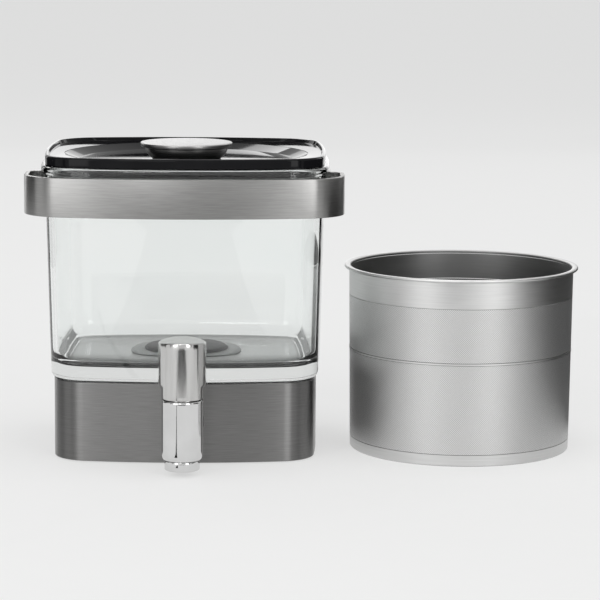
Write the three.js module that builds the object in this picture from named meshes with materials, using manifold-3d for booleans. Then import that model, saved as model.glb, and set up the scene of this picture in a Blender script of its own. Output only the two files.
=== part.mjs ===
import * as THREE from "three";
import { mergeVertices } from "three/addons/utils/BufferGeometryUtils.js";
import Module from "manifold-3d";

// A cold brew coffee maker in millimetres: +Z up, the tap towards -Y.
// The origin lies on the table under the middle of the whole set.

const wasm = await Module();
wasm.setup();

// Fits
const fit = 0.3; // gap that every seated face keeps
const overrun = 6; // how far a cut runs past what it cuts

// Glass jar
const jarTopWidth = 163;
const jarTopDepth = 150;
const jarTaper = 3; // how far each wall leans in from the top to the bottom
const jarHeight = 124.9;
const jarCorner = 24;
const jarWall = 4;
const jarFloor = 8;
const jarFoot = 3.2; // rounding of the lower outer edge
const jarFillet = 9; // rounding inside, between wall and floor
const rimHeight = 5.2;
const rimBulge = 2.1;
const rimRound = 1.9;

// Base
const baseInset = 2; // how far the skirt stands back from the jar's foot
const baseWidth = jarTopWidth - 2 * jarTaper - 2 * baseInset;
const baseDepth = jarTopDepth - 2 * jarTaper - 2 * baseInset;
const baseHeight = 46.8;
const baseCorner = 22;
const baseSheet = 1.6;
const baseEdge = 0.8;
const skirtLift = 0.6; // the skirt's lower edge over the table
const bow = 340; // radius of the bowed front and back

// Bottom plate and feet
const plateThick = 1.6;
const plateLift = 3.1;
const footRadius = 7.5;
const footHeight = 2.8;
const footStem = 2.6;
const footInset = 20;
const pillarInset = 42;
const pillarRadius = 4.5;
const screwRadius = 1.5;
const screwHead = 2.9;
const screwHeadThick = 1.2;
const screwGrip = 9;

// Handle band
const fingerGap = 9.6; // between the jar and a finger loop
const bandHeight = 22.7;
const bandThick = 2.5;
const bandWidth = jarTopWidth + 2 * (fingerGap + bandThick);
const bandCorner = 16;
const bandReturnCorner = 9;
const loopDepth = 54; // front face of the band to the back of its finger loops

// Lid
const lidInset = 0.2; // how far the lid's edge stands back from the jar's wall
const lidHeight = 5.8;
const lidEdge = 1.4;
const dishDrop = 3; // the dish's edge under the lid's level rim
const dishRadius = 73;
const dishBevel = 8.6;
const dishDepth = 3.4;
const dishFloorThick = 1.8;
const plugWall = 2.6;
const plugGap = 2;
const linerThick = 1.4;
const gasketHeight = 2;
const gasketSink = 0.9;
const gasketProud = 1.5;
const gasketLift = 1; // over the plug's lower edge
const gasketRound = 0.6;

// Knob
const knobRadius = 27.5;
const knobThick = 3;
const knobRise = 3.9; // the knob's top over the lid's rim
const knobDome = 0.5;
const stemTopRadius = 25;
const stemLowRadius = 20.5;
const knobScrewRadius = 2;
const knobScrewHead = 3.6;

// Drain through the floor of the jar
const drainBore = 3.4;
const drainShank = 8;
const drainFlange = 25.3;
const drainFlangeThick = 1.7;
const drainRing = 33.5;
const drainRingThick = 1.2;
const drainSeal = 22;
const drainSealThick = 1.6;
const drainNutAcross = 27;
const drainNutThick = 4.5;
const drainWasher = 15;
const drainWasherThick = 1.2;
const drainReach = 17; // shank under the base's deck
const barb = 5;
const barbLength = 7;

// Tap
const tapReach = 30; // front of the base to the middle of the spout
const tapAxisHeight = 25;
const spoutRadius = 12.1;
const spoutTop = 44;
const spoutShoulder = 5;
const spoutFoot = 9.2;
const lipRadius = 10.2;
const lipWall = 3.4;
const lipBottom = 3.2;
const chamberRadius = 9;
const seatHeight = 18;
const seatRadius = 5.6;
const shankRadius = 7.5;
const shankBore = 3.2;
const shankTail = 16; // shank behind the front sheet
const shoulderRadius = 11;
const washerRadius = 12;
const washerThick = 1.2;
const tapNutAcross = 21;
const tapNutThick = 4;
const bonnetThick = 3.4;
const lugWide = 5;
const lugThick = 4.4;

// Tap handle
const handleRadius = 12;
const handleTop = 77.9;
const handleDome = 1.2;
const hoodRadius = 13.8;
const hoodBack = 3.2; // the hood's middle behind the handle's
const hoodLow = 53;
const hoodTaper = 6;
const handleBore = 10.5;
const handleBoreTop = 60;
const seam = 0.6;
const tiltRoom = 0.5; // room for the bore as it tips round the bonnet
const bonnetFlange = 1.2;
const pinForward = 7.4;
const pinRise = 3.2;
const pinRadius = 1.2;
const pinGrip = 1.3; // how far the pin goes into each side of the handle
const pullAngle = 12; // degrees
const shelfThick = 1.8;
const shelfRise = 3.6;

// Valve
const rodRadius = 1.6;
const collarRadius = 3.2;
const collarThick = 1.6;
const plungerRadius = 6.6;
const plungerThick = 2.4;
const sealRadius = 7.8;
const sealThick = 1.6;
const springRadius = 4.2;
const springWire = 0.45;
const springTurns = 5;
const springSteps = 8; // facets to a turn

// Outlet tube
const tubeWall = 1.4;
const clampThick = 0.8;
const clampWide = 3;

// Steeper
const steeperGap = 1.6; // between the band and the steeper's rim
const steeperForward = 10;
const steeperHeight = 110.2;
const steeperRoom = 1; // round the rim inside the jar
const steeperTaper = 1.2; // how far the wall leans in towards the bottom
const steeperSheet = 0.9;
const steeperLip = 2.8;
const steeperLipThick = 1.8;
const collarHeight = 17.5;
const seamHeight = 1;
const seamFromTop = 49.5;
const seamProud = 0.25;
const bottomBandHeight = 6.6;
const bottomLip = 3;
const steeperSteps = 40;
const steeperFloorThick = 0.8;

// Places that follow
const steeperRimRadius = jarTopDepth / 2 - jarWall - steeperRoom;
const steeperTopRadius = steeperRimRadius - steeperLip;
const steeperLowRadius = steeperTopRadius - steeperTaper;
const steeperAway = bandWidth / 2 + steeperGap + steeperRimRadius;
const baseTop = skirtLift + baseHeight;
const jarBottom = baseTop + fit;
const jarTop = jarBottom + jarHeight;
const jarFloorTop = jarBottom + jarFloor;
const bandTop = jarTop - rimHeight - fit;
const bandBottom = bandTop - bandHeight;
const lidBottom = jarTop + fit;
const lidTop = lidBottom + lidHeight;
const dishFloor = lidTop - dishDrop - dishDepth;
const linerTop = dishFloor - dishFloorThick - fit;
const plugBottom = linerTop - linerThick;
const gasketLow = plugBottom + gasketLift;
const tapY = -baseDepth / 2 - tapReach;
const tapAxis = skirtLift + tapAxisHeight;
const pinHeight = spoutTop + pinRise;
const pinY = tapY - pinForward;
const deckLow = baseTop - baseSheet;
const plateTop = plateLift + plateThick;

// Finishes
const finish = (color, metalness, roughness) => ({ color, metalness, roughness });
const brushed = finish(0xa9a8a6, 1, 0.38);
const polished = finish(0xd9d9d9, 1, 0.12);
const plainSteel = finish(0x9d9d9b, 1, 0.45);
const glass = { ...finish(0xeef4f3, 0, 0.05), transparent: true, opacity: 0.35 };
const blackGloss = finish(0x0c0c0d, 0, 0.15);
const blackRubber = finish(0x17181a, 0, 0.8);
const blackPlastic = finish(0x1b1c1e, 0, 0.5);
const silicone = finish(0xd5d8d6, 0, 0.6);

// Unit directions and counts
const quarter = Math.PI / 2;
const roundSteps = 26;
const smallSteps = 14;
const cornerSteps = 6;
const bowSteps = 5;
const mergeReach = 0.0005;

// A closed three.js geometry as a solid that can be cut and joined.
function solidOf(geometry) {
  const bare = geometry.clone();
  bare.deleteAttribute("normal");
  bare.deleteAttribute("uv");
  const merged = mergeVertices(bare, mergeReach);
  const vertProperties = merged.attributes.position.array;
  const triVerts = new Uint32Array(merged.index.array);
  return new wasm.Manifold(new wasm.Mesh({ numProp: 3, vertProperties, triVerts }));
}

// A solid as a geometry for its mesh.
function geometryOf(solid) {
  const { vertProperties, triVerts, numProp } = solid.getMesh();
  const geometry = new THREE.BufferGeometry();
  geometry.setAttribute("position", new THREE.BufferAttribute(vertProperties, numProp));
  geometry.setIndex(new THREE.BufferAttribute(triVerts, 1));
  geometry.computeVertexNormals();
  return geometry;
}

const joined = (...solids) => solids.reduce((whole, next) => whole.add(next));
const cut = (solid, ...cutters) => cutters.reduce((whole, next) => whole.subtract(next), solid);

// An arc of an outline: centre, radius, start and end angle, steps.
const arc = (x, y, radius, from, to, steps) =>
  new THREE.EllipseCurve(x, y, radius, radius, from, to).getPoints(steps);

// A closed outline from arcs; straight sides join them.
function outlineOf(arcs) {
  const points = arcs.flat();
  const apart = (point, i) => point.distanceTo(points[(i + 1) % points.length]) > mergeReach;
  return new THREE.Shape(points.filter(apart));
}

// A square outline whose front and back bow out and whose corners are round.
function bowedOutline(width, depth, corner, bend) {
  const side = width / 2 - corner;
  const reach = bend - corner;
  const lean = Math.asin(side / reach);
  const cornerY = depth / 2 - bend + reach * Math.cos(lean);
  const bowY = depth / 2 - bend;
  return outlineOf([
    arc(side, cornerY, corner, 0, quarter - lean, cornerSteps),
    arc(0, bowY, bend, quarter - lean, quarter + lean, bowSteps),
    arc(-side, cornerY, corner, quarter + lean, 2 * quarter, cornerSteps),
    arc(-side, -cornerY, corner, 2 * quarter, 3 * quarter - lean, cornerSteps),
    arc(0, -bowY, bend, 3 * quarter - lean, 3 * quarter + lean, bowSteps),
    arc(side, -cornerY, corner, 3 * quarter + lean, 4 * quarter, cornerSteps),
  ]);
}

// The jar's own outline, moved outwards by an offset.
const jarOutline = (offset) =>
  bowedOutline(jarTopWidth + 2 * offset, jarTopDepth + 2 * offset, jarCorner + offset, bow + offset);
const baseOutline = (offset) =>
  bowedOutline(baseWidth + 2 * offset, baseDepth + 2 * offset, baseCorner + offset, bow + offset);

// The outline of the band's front and its two finger loops, moved outwards by an offset.
function loopOutline(offset) {
  const halfWidth = bandWidth / 2 - bandThick + offset;
  const front = -jarTopDepth / 2 - fit - offset;
  const back = front + offset + loopDepth - 2 * bandThick + offset;
  const corner = bandCorner - bandThick + offset;
  const backCorner = bandReturnCorner - bandThick + offset;
  const bend = bow + fit + offset;
  const side = halfWidth - corner;
  const reach = bend - corner;
  const lean = Math.asin(side / reach);
  const cornerY = front + bend - reach * Math.cos(lean);
  const backSide = halfWidth - backCorner;
  return outlineOf([
    arc(backSide, back - backCorner, backCorner, 0, quarter, cornerSteps),
    arc(-backSide, back - backCorner, backCorner, quarter, 2 * quarter, cornerSteps),
    arc(-side, cornerY, corner, 2 * quarter, 3 * quarter - lean, cornerSteps),
    arc(0, front + bend, bend, 3 * quarter - lean, 3 * quarter + lean, 2 * bowSteps),
    arc(side, cornerY, corner, 3 * quarter + lean, 4 * quarter, cornerSteps),
  ]);
}

// An outline drawn up from one height to another, with both ends rounded by an edge radius.
function extruded(outline, low, high, edge = 0, edgeSteps = 2) {
  const geometry = new THREE.ExtrudeGeometry(outline, {
    depth: high - low - 2 * edge,
    bevelEnabled: edge > 0,
    bevelThickness: edge,
    bevelSize: edge,
    bevelOffset: -edge,
    bevelSegments: edgeSteps,
    steps: 1,
  });
  return geometry.translate(0, 0, low + edge);
}

// The same with only the upper end rounded.
function roundTopped(outline, low, high, edge) {
  const whole = solidOf(extruded(outline, low - 2 * edge, high, edge));
  return cut(whole, block(jarTopWidth * 2, jarTopDepth * 2, low - 3 * edge, low));
}

// The same with only the lower end rounded.
function roundFooted(outline, low, high, edge, edgeSteps) {
  const whole = solidOf(extruded(outline, low, high + 2 * edge, edge, edgeSteps));
  return cut(whole, block(jarTopWidth * 2, jarTopDepth * 2, high, high + 3 * edge));
}

// A box about the upright axis.
const block = (width, depth, low, high, x = 0, y = 0) =>
  solidOf(new THREE.BoxGeometry(width, depth, high - low).translate(x, y, (low + high) / 2));

// A profile of radius and height turned about the upright axis.
function turned(profile, steps = roundSteps) {
  const points = profile.map(([radius, height]) => new THREE.Vector2(radius, height));
  const closed = profile[0][0] > 0 ? [...points, points[0].clone()] : points;
  if (THREE.ShapeUtils.area(points) < 0) closed.reverse();
  return new THREE.LatheGeometry(closed, steps).rotateX(quarter);
}

const rod = (radius, low, high, steps = smallSteps) =>
  turned([[0, low], [radius, low], [radius, high], [0, high]], steps);
const ring = (inner, outer, low, high, steps = smallSteps) =>
  turned([[inner, low], [outer, low], [outer, high], [inner, high]], steps);

// Turns what stands about the upright axis to lie along Y at the tap's height; up becomes back.
const laid = (geometry) => geometry.rotateX(-quarter).translate(0, 0, tapAxis);
const atTap = (geometry) => geometry.translate(0, tapY, 0);

// A hexagon nut.
function nut(across, bore, low, high) {
  const corner = across / Math.sqrt(3);
  const body = new THREE.CylinderGeometry(corner, corner, high - low, 6).rotateX(quarter);
  body.translate(0, 0, (low + high) / 2);
  return cut(solidOf(body), solidOf(rod(bore, low - overrun, high + overrun)));
}

// The walls of the jar lean in towards its floor.
function leaned(geometry) {
  const place = geometry.attributes.position;
  for (let i = 0; i < place.count; i += 1) {
    const share = Math.max(0, (jarTop - place.getZ(i)) / jarHeight);
    place.setX(i, place.getX(i) * (1 - (share * 2 * jarTaper) / jarTopWidth));
    place.setY(i, place.getY(i) * (1 - (share * 2 * jarTaper) / jarTopDepth));
  }
  return geometry;
}

function mesh(name, shape, look) {
  const geometry = shape.isBufferGeometry ? shape : geometryOf(shape);
  const made = new THREE.Mesh(geometry, new THREE.MeshStandardMaterial(look));
  made.name = name;
  return made;
}

// The four places of the feet or the pillars, front left first.
const fourPlaces = (insetX, insetY) =>
  [[-1, -1], [1, -1], [1, 1], [-1, 1]].map(([sideX, sideY]) => [
    sideX * (baseWidth / 2 - insetX),
    sideY * (baseDepth / 2 - insetY),
  ]);
const cornerNames = ["front_left", "front_right", "back_right", "back_left"];
const footPlaces = fourPlaces(footInset, footInset);
const pillarPlaces = fourPlaces(pillarInset, footInset);

// Base: a sheet steel skirt and deck with a recess for the lower seal and four pillars under it.
const recessFloor = jarBottom - fit - drainSealThick - fit;
const recessLow = recessFloor - baseSheet;

function baseShell() {
  const outside = roundTopped(baseOutline(0), skirtLift, baseTop, baseEdge);
  const inside = solidOf(extruded(baseOutline(-baseSheet), skirtLift - overrun, deckLow));
  const cup = solidOf(rod(drainSeal + fit + baseSheet, recessLow, deckLow + fit, roundSteps));
  const pillars = pillarPlaces.map(([x, y]) =>
    cut(
      solidOf(rod(pillarRadius, plateTop + fit, deckLow + fit).translate(x, y, 0)),
      solidOf(rod(screwRadius + fit, plateTop, plateTop + screwGrip).translate(x, y, 0)),
    ),
  );
  return cut(
    joined(cut(outside, inside), cup, ...pillars),
    solidOf(rod(drainSeal + fit, recessFloor, baseTop + overrun, roundSteps)),
    solidOf(rod(drainShank + fit, recessLow - overrun, recessFloor + fit)),
    solidOf(laid(rod(shankRadius + fit, -baseDepth / 2 - overrun, -baseDepth / 2 + overrun))),
  );
}

function basePlate() {
  const plate = solidOf(extruded(baseOutline(-baseSheet - fit), plateLift, plateTop));
  const holes = pillarPlaces.map(([x, y]) =>
    solidOf(rod(screwRadius + fit, plateLift - overrun, plateTop + overrun).translate(x, y, 0)),
  );
  const footHoles = footPlaces.map(([x, y]) =>
    solidOf(rod(footStem + fit, plateLift - overrun, plateTop + overrun).translate(x, y, 0)),
  );
  return cut(plate, ...holes, ...footHoles);
}

const footAt = ([x, y]) =>
  turned([
    [0, 0],
    [footRadius - footHeight / 2, 0],
    [footRadius, footHeight / 2],
    [footRadius, footHeight],
    [footStem, footHeight],
    [footStem, plateTop],
    [0, plateTop],
  ], smallSteps).translate(x, y, 0);

const plateScrewAt = ([x, y]) =>
  turned([
    [0, plateLift - fit - screwHeadThick],
    [screwHead, plateLift - fit - screwHeadThick],
    [screwHead, plateLift - fit],
    [screwRadius, plateLift - fit],
    [screwRadius, plateTop + screwGrip - fit],
    [0, plateTop + screwGrip - fit],
  ], smallSteps).translate(x, y, 0);

// Glass jar: leaning walls, a thick floor with a wide inner rounding, a bulging rim.
function glassJar() {
  const outside = solidOf(leaned(geometryOf(roundFooted(jarOutline(0), jarBottom, jarTop, jarFoot, 2))));
  const rim = solidOf(extruded(jarOutline(rimBulge), jarTop - rimHeight, jarTop, rimRound));
  const hollow = extruded(jarOutline(-jarWall), jarFloorTop, jarTop + 3 * jarFillet, jarFillet, 3);
  return cut(
    joined(outside, rim),
    solidOf(leaned(hollow)),
    solidOf(rod(drainShank + fit, jarBottom - overrun, jarFloorTop + overrun)),
  );
}

// Handle band: one closed strip, held off the jar at both sides as finger loops.
function handleBand() {
  const front = -jarTopDepth / 2 - fit - bandThick;
  const rearOnly = (solid) =>
    cut(solid, block(2 * bandWidth, loopDepth, bandBottom - overrun, bandTop + overrun, 0, front));
  const outside = joined(
    solidOf(extruded(loopOutline(bandThick), bandBottom, bandTop)),
    rearOnly(solidOf(extruded(jarOutline(fit + bandThick), bandBottom, bandTop))),
  );
  const inside = joined(
    solidOf(extruded(loopOutline(0), bandBottom - overrun, bandTop + overrun)),
    rearOnly(solidOf(extruded(jarOutline(fit), bandBottom - overrun, bandTop + overrun))),
  );
  return cut(outside, inside);
}

// Lid: a square plate with a round dish in its top and a plug that fits the jar.
const dishEdge = lidTop - dishDrop;
const plugInset = jarWall + plugGap;

function lidShell() {
  const plate = roundTopped(jarOutline(-lidInset), lidBottom, lidTop, lidEdge);
  const plug = solidOf(extruded(jarOutline(-plugInset), plugBottom, lidBottom + fit));
  const groove = cut(
    solidOf(extruded(jarOutline(0), gasketLow - fit, gasketLow + gasketHeight + fit)),
    solidOf(extruded(jarOutline(-plugInset - gasketSink), plugBottom, lidBottom)),
  );
  const dish = solidOf(turned([
    [0, dishFloor],
    [dishRadius - dishBevel, dishFloor],
    [dishRadius, dishEdge],
    [0, dishEdge],
  ], steeperSteps));
  const dishMouth = solidOf(rod(dishRadius, dishEdge, dishEdge + fit, steeperSteps));
  const rimInside = solidOf(extruded(jarOutline(-lidInset - lidEdge), lidTop, lidTop + overrun));
  const slope = wasm.Manifold.hull([dishMouth, rimInside]);
  const pocket = solidOf(extruded(jarOutline(-plugInset - plugWall), plugBottom - overrun, linerTop + fit));
  const hole = solidOf(rod(knobScrewRadius + fit, plugBottom - overrun, lidTop + overrun));
  return cut(joined(plate, plug), groove, dish, slope, pocket, hole);
}

function lidLiner() {
  const plate = solidOf(extruded(jarOutline(-plugInset - plugWall - fit), linerTop - linerThick, linerTop));
  return cut(plate, solidOf(rod(knobScrewHead + fit, plugBottom - overrun, lidTop)));
}

function lidGasket() {
  const gasketHigh = gasketLow + gasketHeight;
  const outside = extruded(jarOutline(gasketProud - plugInset), gasketLow, gasketHigh, gasketRound);
  const inside = extruded(jarOutline(-plugInset - gasketSink + fit), plugBottom, lidTop);
  return cut(solidOf(outside), solidOf(inside));
}

// Knob: a slightly domed disc on a bowl shaped stem, held by one screw from below.
const knobTop = lidTop + knobRise;
const knobLow = knobTop - knobThick;
const stemLow = dishFloor + fit;
const stemHigh = knobLow - fit;

const knobCap = () =>
  turned([
    [0, knobLow],
    [knobRadius - knobDome, knobLow],
    [knobRadius, knobLow + knobDome],
    [knobRadius, knobTop - 2 * knobDome],
    [knobRadius - knobDome, knobTop - knobDome],
    [knobRadius / 2, knobTop - knobDome / 4],
    [0, knobTop],
  ], steeperSteps);

function knobStem() {
  const bowl = new THREE.EllipseCurve(
    0, stemHigh, stemTopRadius, stemHigh - stemLow, -Math.acos(stemLowRadius / stemTopRadius), 0,
  );
  const side = bowl.getPoints(cornerSteps).map(({ x, y }) => [x, y]);
  const low = side[0][1];
  const foot = [[0, stemLow], [stemLowRadius, stemLow], [stemLowRadius, low]];
  const body = turned([...foot, ...side.slice(1), [0, stemHigh]], roundSteps);
  return cut(solidOf(body), solidOf(rod(knobScrewRadius + fit, stemLow - overrun, stemHigh - fit)));
}

const knobScrew = () =>
  turned([
    [0, linerTop - linerThick + fit],
    [knobScrewHead, linerTop - linerThick + fit],
    [knobScrewHead, dishFloor - dishFloorThick - fit],
    [knobScrewRadius, dishFloor - dishFloorThick - fit],
    [knobScrewRadius, stemHigh - 2 * fit],
    [0, stemHigh - 2 * fit],
  ], smallSteps);

// Drain: a flanged shank through the floor of the jar and the deck, sealed above and below.
const ringLow = jarFloorTop + fit;
const flangeLow = ringLow + drainRingThick + fit;
const flangeHigh = flangeLow + drainFlangeThick;
const drainWasherHigh = recessLow - fit;
const drainNutHigh = drainWasherHigh - drainWasherThick - fit;
const drainNutLow = drainNutHigh - drainNutThick;
const shankLow = deckLow - drainReach;
const elbowRadius = drainShank + fit + barb / 2;
const barbEnd = elbowRadius + barbLength;

const drainSealRing = () =>
  ring(drainShank + fit, drainSeal, recessFloor + fit, jarBottom - fit, roundSteps);
const drainClearRing = () =>
  turned([
    [drainShank + fit, ringLow],
    [drainRing, ringLow],
    [drainRing - drainRingThick, flangeLow - fit],
    [drainShank + fit, flangeLow - fit],
  ], roundSteps);

const drainFitting = () =>
  turned([
    [drainBore, shankLow],
    [drainShank, shankLow],
    [drainShank, flangeLow],
    [drainFlange, flangeLow],
    [drainFlange - drainFlangeThick, flangeHigh],
    [drainShank, flangeHigh],
    [drainBore, flangeHigh - drainFlangeThick],
  ], roundSteps);

const drainWasherRing = () =>
  ring(drainShank + fit, drainWasher, drainWasherHigh - drainWasherThick, drainWasherHigh);
const drainNut = () => nut(drainNutAcross, drainShank + fit, drainNutLow, drainNutHigh);

// An elbow cup on the drain's shank, with a barb that points to the tap.
function drainElbow() {
  const cup = solidOf(rod(elbowRadius, tapAxis - elbowRadius, drainNutLow - fit));
  const side = solidOf(laid(rod(barb, -barbEnd, 0)));
  return cut(
    joined(cup, side),
    solidOf(rod(drainShank + fit, shankLow - fit, drainNutLow + overrun)),
    solidOf(rod(drainBore, tapAxis - drainBore, shankLow)),
    solidOf(laid(rod(drainBore, -barbEnd - overrun, 0))),
  );
}

// Tap: spout, chamber and shank in one body, a nozzle in its lower end and a bonnet in its top.
const tailEnd = -baseDepth / 2 + baseSheet + shankTail;
const tubeFront = tailEnd - barbLength;
const tubeBack = -elbowRadius - fit;
const chamberLow = skirtLift + seatHeight;

function tapBody() {
  const shoulder = new THREE.EllipseCurve(
    lipRadius, spoutFoot + spoutShoulder, spoutRadius - lipRadius, spoutShoulder, -quarter, 0,
  );
  const round = shoulder.getPoints(cornerSteps).map(({ x, y }) => [x, y]);
  const shaft = atTap(turned([
    [0, spoutFoot],
    ...round,
    [spoutRadius, spoutTop - baseEdge],
    [spoutRadius - baseEdge, spoutTop],
    [0, spoutTop],
  ], roundSteps));
  const shank = laid(turned([
    [0, tapY],
    [shankRadius, tapY],
    [shankRadius, tapY + spoutRadius],
    [shoulderRadius, -baseDepth / 2 - 2 * washerThick - fit],
    [shoulderRadius, -baseDepth / 2 - washerThick - fit],
    [shankRadius, -baseDepth / 2 - washerThick - fit],
    [shankRadius, tubeFront - fit],
    [barb, tubeFront - fit],
    [barb, tailEnd],
    [0, tailEnd],
  ], smallSteps));
  return cut(
    joined(solidOf(shaft), solidOf(shank)),
    solidOf(atTap(rod(chamberRadius, chamberLow, spoutTop + overrun, roundSteps))),
    solidOf(atTap(rod(seatRadius, spoutFoot - overrun, chamberLow + fit))),
    solidOf(atTap(rod(nozzleNeck + fit, spoutFoot - overrun, neckHigh + fit))),
    solidOf(laid(rod(shankBore, tapY, tailEnd + overrun))),
  );
}

const nozzleNeck = lipRadius - lipWall / 2;
const neckHigh = (spoutFoot + chamberLow) / 2;
const tapNozzle = () =>
  atTap(turned([
    [seatRadius, lipBottom],
    [lipRadius, lipBottom],
    [lipRadius, spoutFoot - fit],
    [nozzleNeck, spoutFoot - fit],
    [nozzleNeck, neckHigh],
    [seatRadius, neckHigh],
  ], roundSteps));

const bonnetRadius = handleBore - fit - tiltRoom;
const lugY = tapY - pinForward;

function tapBonnet() {
  const cap = solidOf(atTap(turned([
    [rodRadius + fit, spoutTop - bonnetThick],
    [chamberRadius - fit, spoutTop - bonnetThick],
    [chamberRadius - fit, spoutTop + fit],
    [bonnetRadius, spoutTop + fit],
    [bonnetRadius, spoutTop + fit + bonnetFlange],
    [rodRadius + fit, spoutTop + fit + bonnetFlange],
  ], roundSteps)));
  const lug = block(lugWide, lugThick, spoutTop + fit, pinHeight + lugThick / 2, 0, lugY);
  return cut(joined(cap, lug), solidOf(across(rod(pinRadius + fit, -lugWide, lugWide))));
}

// Turns what stands about the upright axis to lie along X on the pin's axis.
const across = (geometry) => geometry.rotateY(quarter).translate(0, pinY, pinHeight);

const pinReach = Math.sqrt(handleBore ** 2 - pinForward ** 2) + pinGrip;
const pivotPin = () => across(rod(pinRadius, -pinReach + fit, pinReach - fit));

// Handle: a round lever with a wider hood at its back, hollow below, cut away so that it can tip.
function tapHandle() {
  const domed = (radius, low, taper) => [
    [0, low],
    [handleRadius - baseEdge, low],
    [handleRadius, low + taper],
    [radius, low + taper],
    [radius, handleTop - handleDome],
    [radius - handleDome / 2, handleTop - handleDome / 2],
    [radius / 2, handleTop - handleDome / 8],
    [0, handleTop],
  ];
  const front = solidOf(atTap(turned(domed(handleRadius, spoutTop + seam, baseEdge), roundSteps)));
  const hood = solidOf(atTap(turned([
    [0, hoodLow - hoodTaper],
    [handleRadius - hoodBack / 2, hoodLow - hoodTaper],
    [hoodRadius, hoodLow],
    [hoodRadius, handleTop - handleDome],
    [hoodRadius - handleDome / 2, handleTop - handleDome / 2],
    [hoodRadius / 2, handleTop - handleDome / 8],
    [0, handleTop],
  ], roundSteps)).translate(0, hoodBack, 0));
  const shelfLow = pinHeight + shelfRise;
  // The shelf swings forward as the handle tips, so its slot runs back past the rod by that much.
  const swing = (shelfRise + shelfThick) * Math.sin(pull) + pinForward * (1 - Math.cos(pull));
  const slotBack = rodRadius + fit + swing;
  const shelf = cut(
    solidOf(atTap(rod(handleBore + fit, shelfLow, shelfLow + shelfThick, roundSteps))),
    block(2 * (rodRadius + fit), handleBore + slotBack, shelfLow - fit, shelfLow + 2 * shelfThick, 0,
      tapY + (slotBack - handleBore) / 2),
  );
  const bore = cut(solidOf(atTap(rod(handleBore, spoutTop - overrun, handleBoreTop, roundSteps))), shelf);
  const under = new THREE.BoxGeometry(handleRadius * 4, handleRadius * 4, overrun);
  under.translate(0, 0, spoutTop + fit - pinHeight - overrun / 2);
  under.rotateX(-pull).translate(0, pinY, pinHeight);
  const pinHole = solidOf(across(rod(pinRadius + fit / 2, -pinReach, pinReach)));
  return cut(joined(front, hood), bore, solidOf(under), pinHole);
}

const pull = THREE.MathUtils.degToRad(pullAngle);

// Valve: a seal on a plunger, pushed onto its seat by a spring.
const sealLow = chamberLow + fit;
const sealTop = sealLow + sealThick;
const plungerTop = sealTop + fit + plungerThick;
const shelfTop = pinHeight + shelfRise + shelfThick;
const springTop = spoutTop - bonnetThick - fit;

const valveSeal = () => atTap(rod(sealRadius, sealLow, sealTop, roundSteps));
const valvePlunger = () =>
  atTap(turned([
    [0, sealTop + fit],
    [plungerRadius, sealTop + fit],
    [plungerRadius, plungerTop],
    [rodRadius, plungerTop],
    [rodRadius, shelfTop + fit],
    [collarRadius, shelfTop + fit],
    [collarRadius, shelfTop + fit + collarThick],
    [0, shelfTop + fit + collarThick],
  ], smallSteps));

class Helix extends THREE.Curve {
  constructor(radius, low, high, turns) {
    super();
    this.getPoint = (t) => {
      const turn = t * turns * 4 * quarter;
      return new THREE.Vector3(radius * Math.cos(turn), radius * Math.sin(turn), low + t * (high - low));
    };
  }
}

function valveSpring() {
  const wire = new THREE.Shape().absarc(0, 0, springWire, 0, 4 * quarter);
  const low = plungerTop + fit + springWire;
  const path = new Helix(springRadius, low, springTop - springWire, springTurns);
  const coil = new THREE.ExtrudeGeometry(wire, {
    steps: springTurns * springSteps,
    curveSegments: 3,
    bevelEnabled: false,
    extrudePath: path,
  });
  return atTap(coil);
}

const tapWasher = () =>
  laid(ring(shankRadius + fit, washerRadius, -baseDepth / 2 - washerThick, -baseDepth / 2 - fit));
const bowSag = washerRadius ** 2 / bow; // how far the bowed sheet curves back under a washer
const innerFace = -baseDepth / 2 + baseSheet + bowSag + fit;
const innerWasher = () => laid(ring(shankRadius + fit, washerRadius, innerFace, innerFace + washerThick));
function tapNut() {
  const low = innerFace + washerThick + fit;
  return laid(geometryOf(nut(tapNutAcross, shankRadius + fit, low, low + tapNutThick)));
}

const tubeInside = barb + fit;
const tubeOutside = tubeInside + tubeWall;
const outletTube = () => laid(ring(tubeInside, tubeOutside, tubeFront, tubeBack));
const clampInside = tubeOutside + fit;
const clampAt = (middle) =>
  laid(ring(clampInside, clampInside + clampThick, middle - clampWide / 2, middle + clampWide / 2));

// Steeper: a round basket whose wall widens a little upwards.
const wallRadius = (height) =>
  steeperLowRadius + ((steeperTopRadius - steeperLowRadius) * height) / steeperHeight;
const wallRing = (low, high, proud = 0) =>
  turned([
    [wallRadius(low) - steeperSheet, low],
    [wallRadius(low) + proud, low],
    [wallRadius(high) + proud, high],
    [wallRadius(high) - steeperSheet, high],
  ], steeperSteps);

const lipLow = steeperHeight - steeperLipThick;
const steeperRim = () =>
  turned([
    [wallRadius(lipLow) - steeperSheet, lipLow],
    [steeperRimRadius - steeperLipThick / 2, lipLow],
    [steeperRimRadius, lipLow + steeperLipThick / 3],
    [steeperRimRadius, steeperHeight - steeperLipThick / 3],
    [steeperRimRadius - steeperLipThick / 2, steeperHeight],
    [wallRadius(lipLow) - steeperSheet, steeperHeight - steeperLipThick / 3],
  ], steeperSteps);

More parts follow.
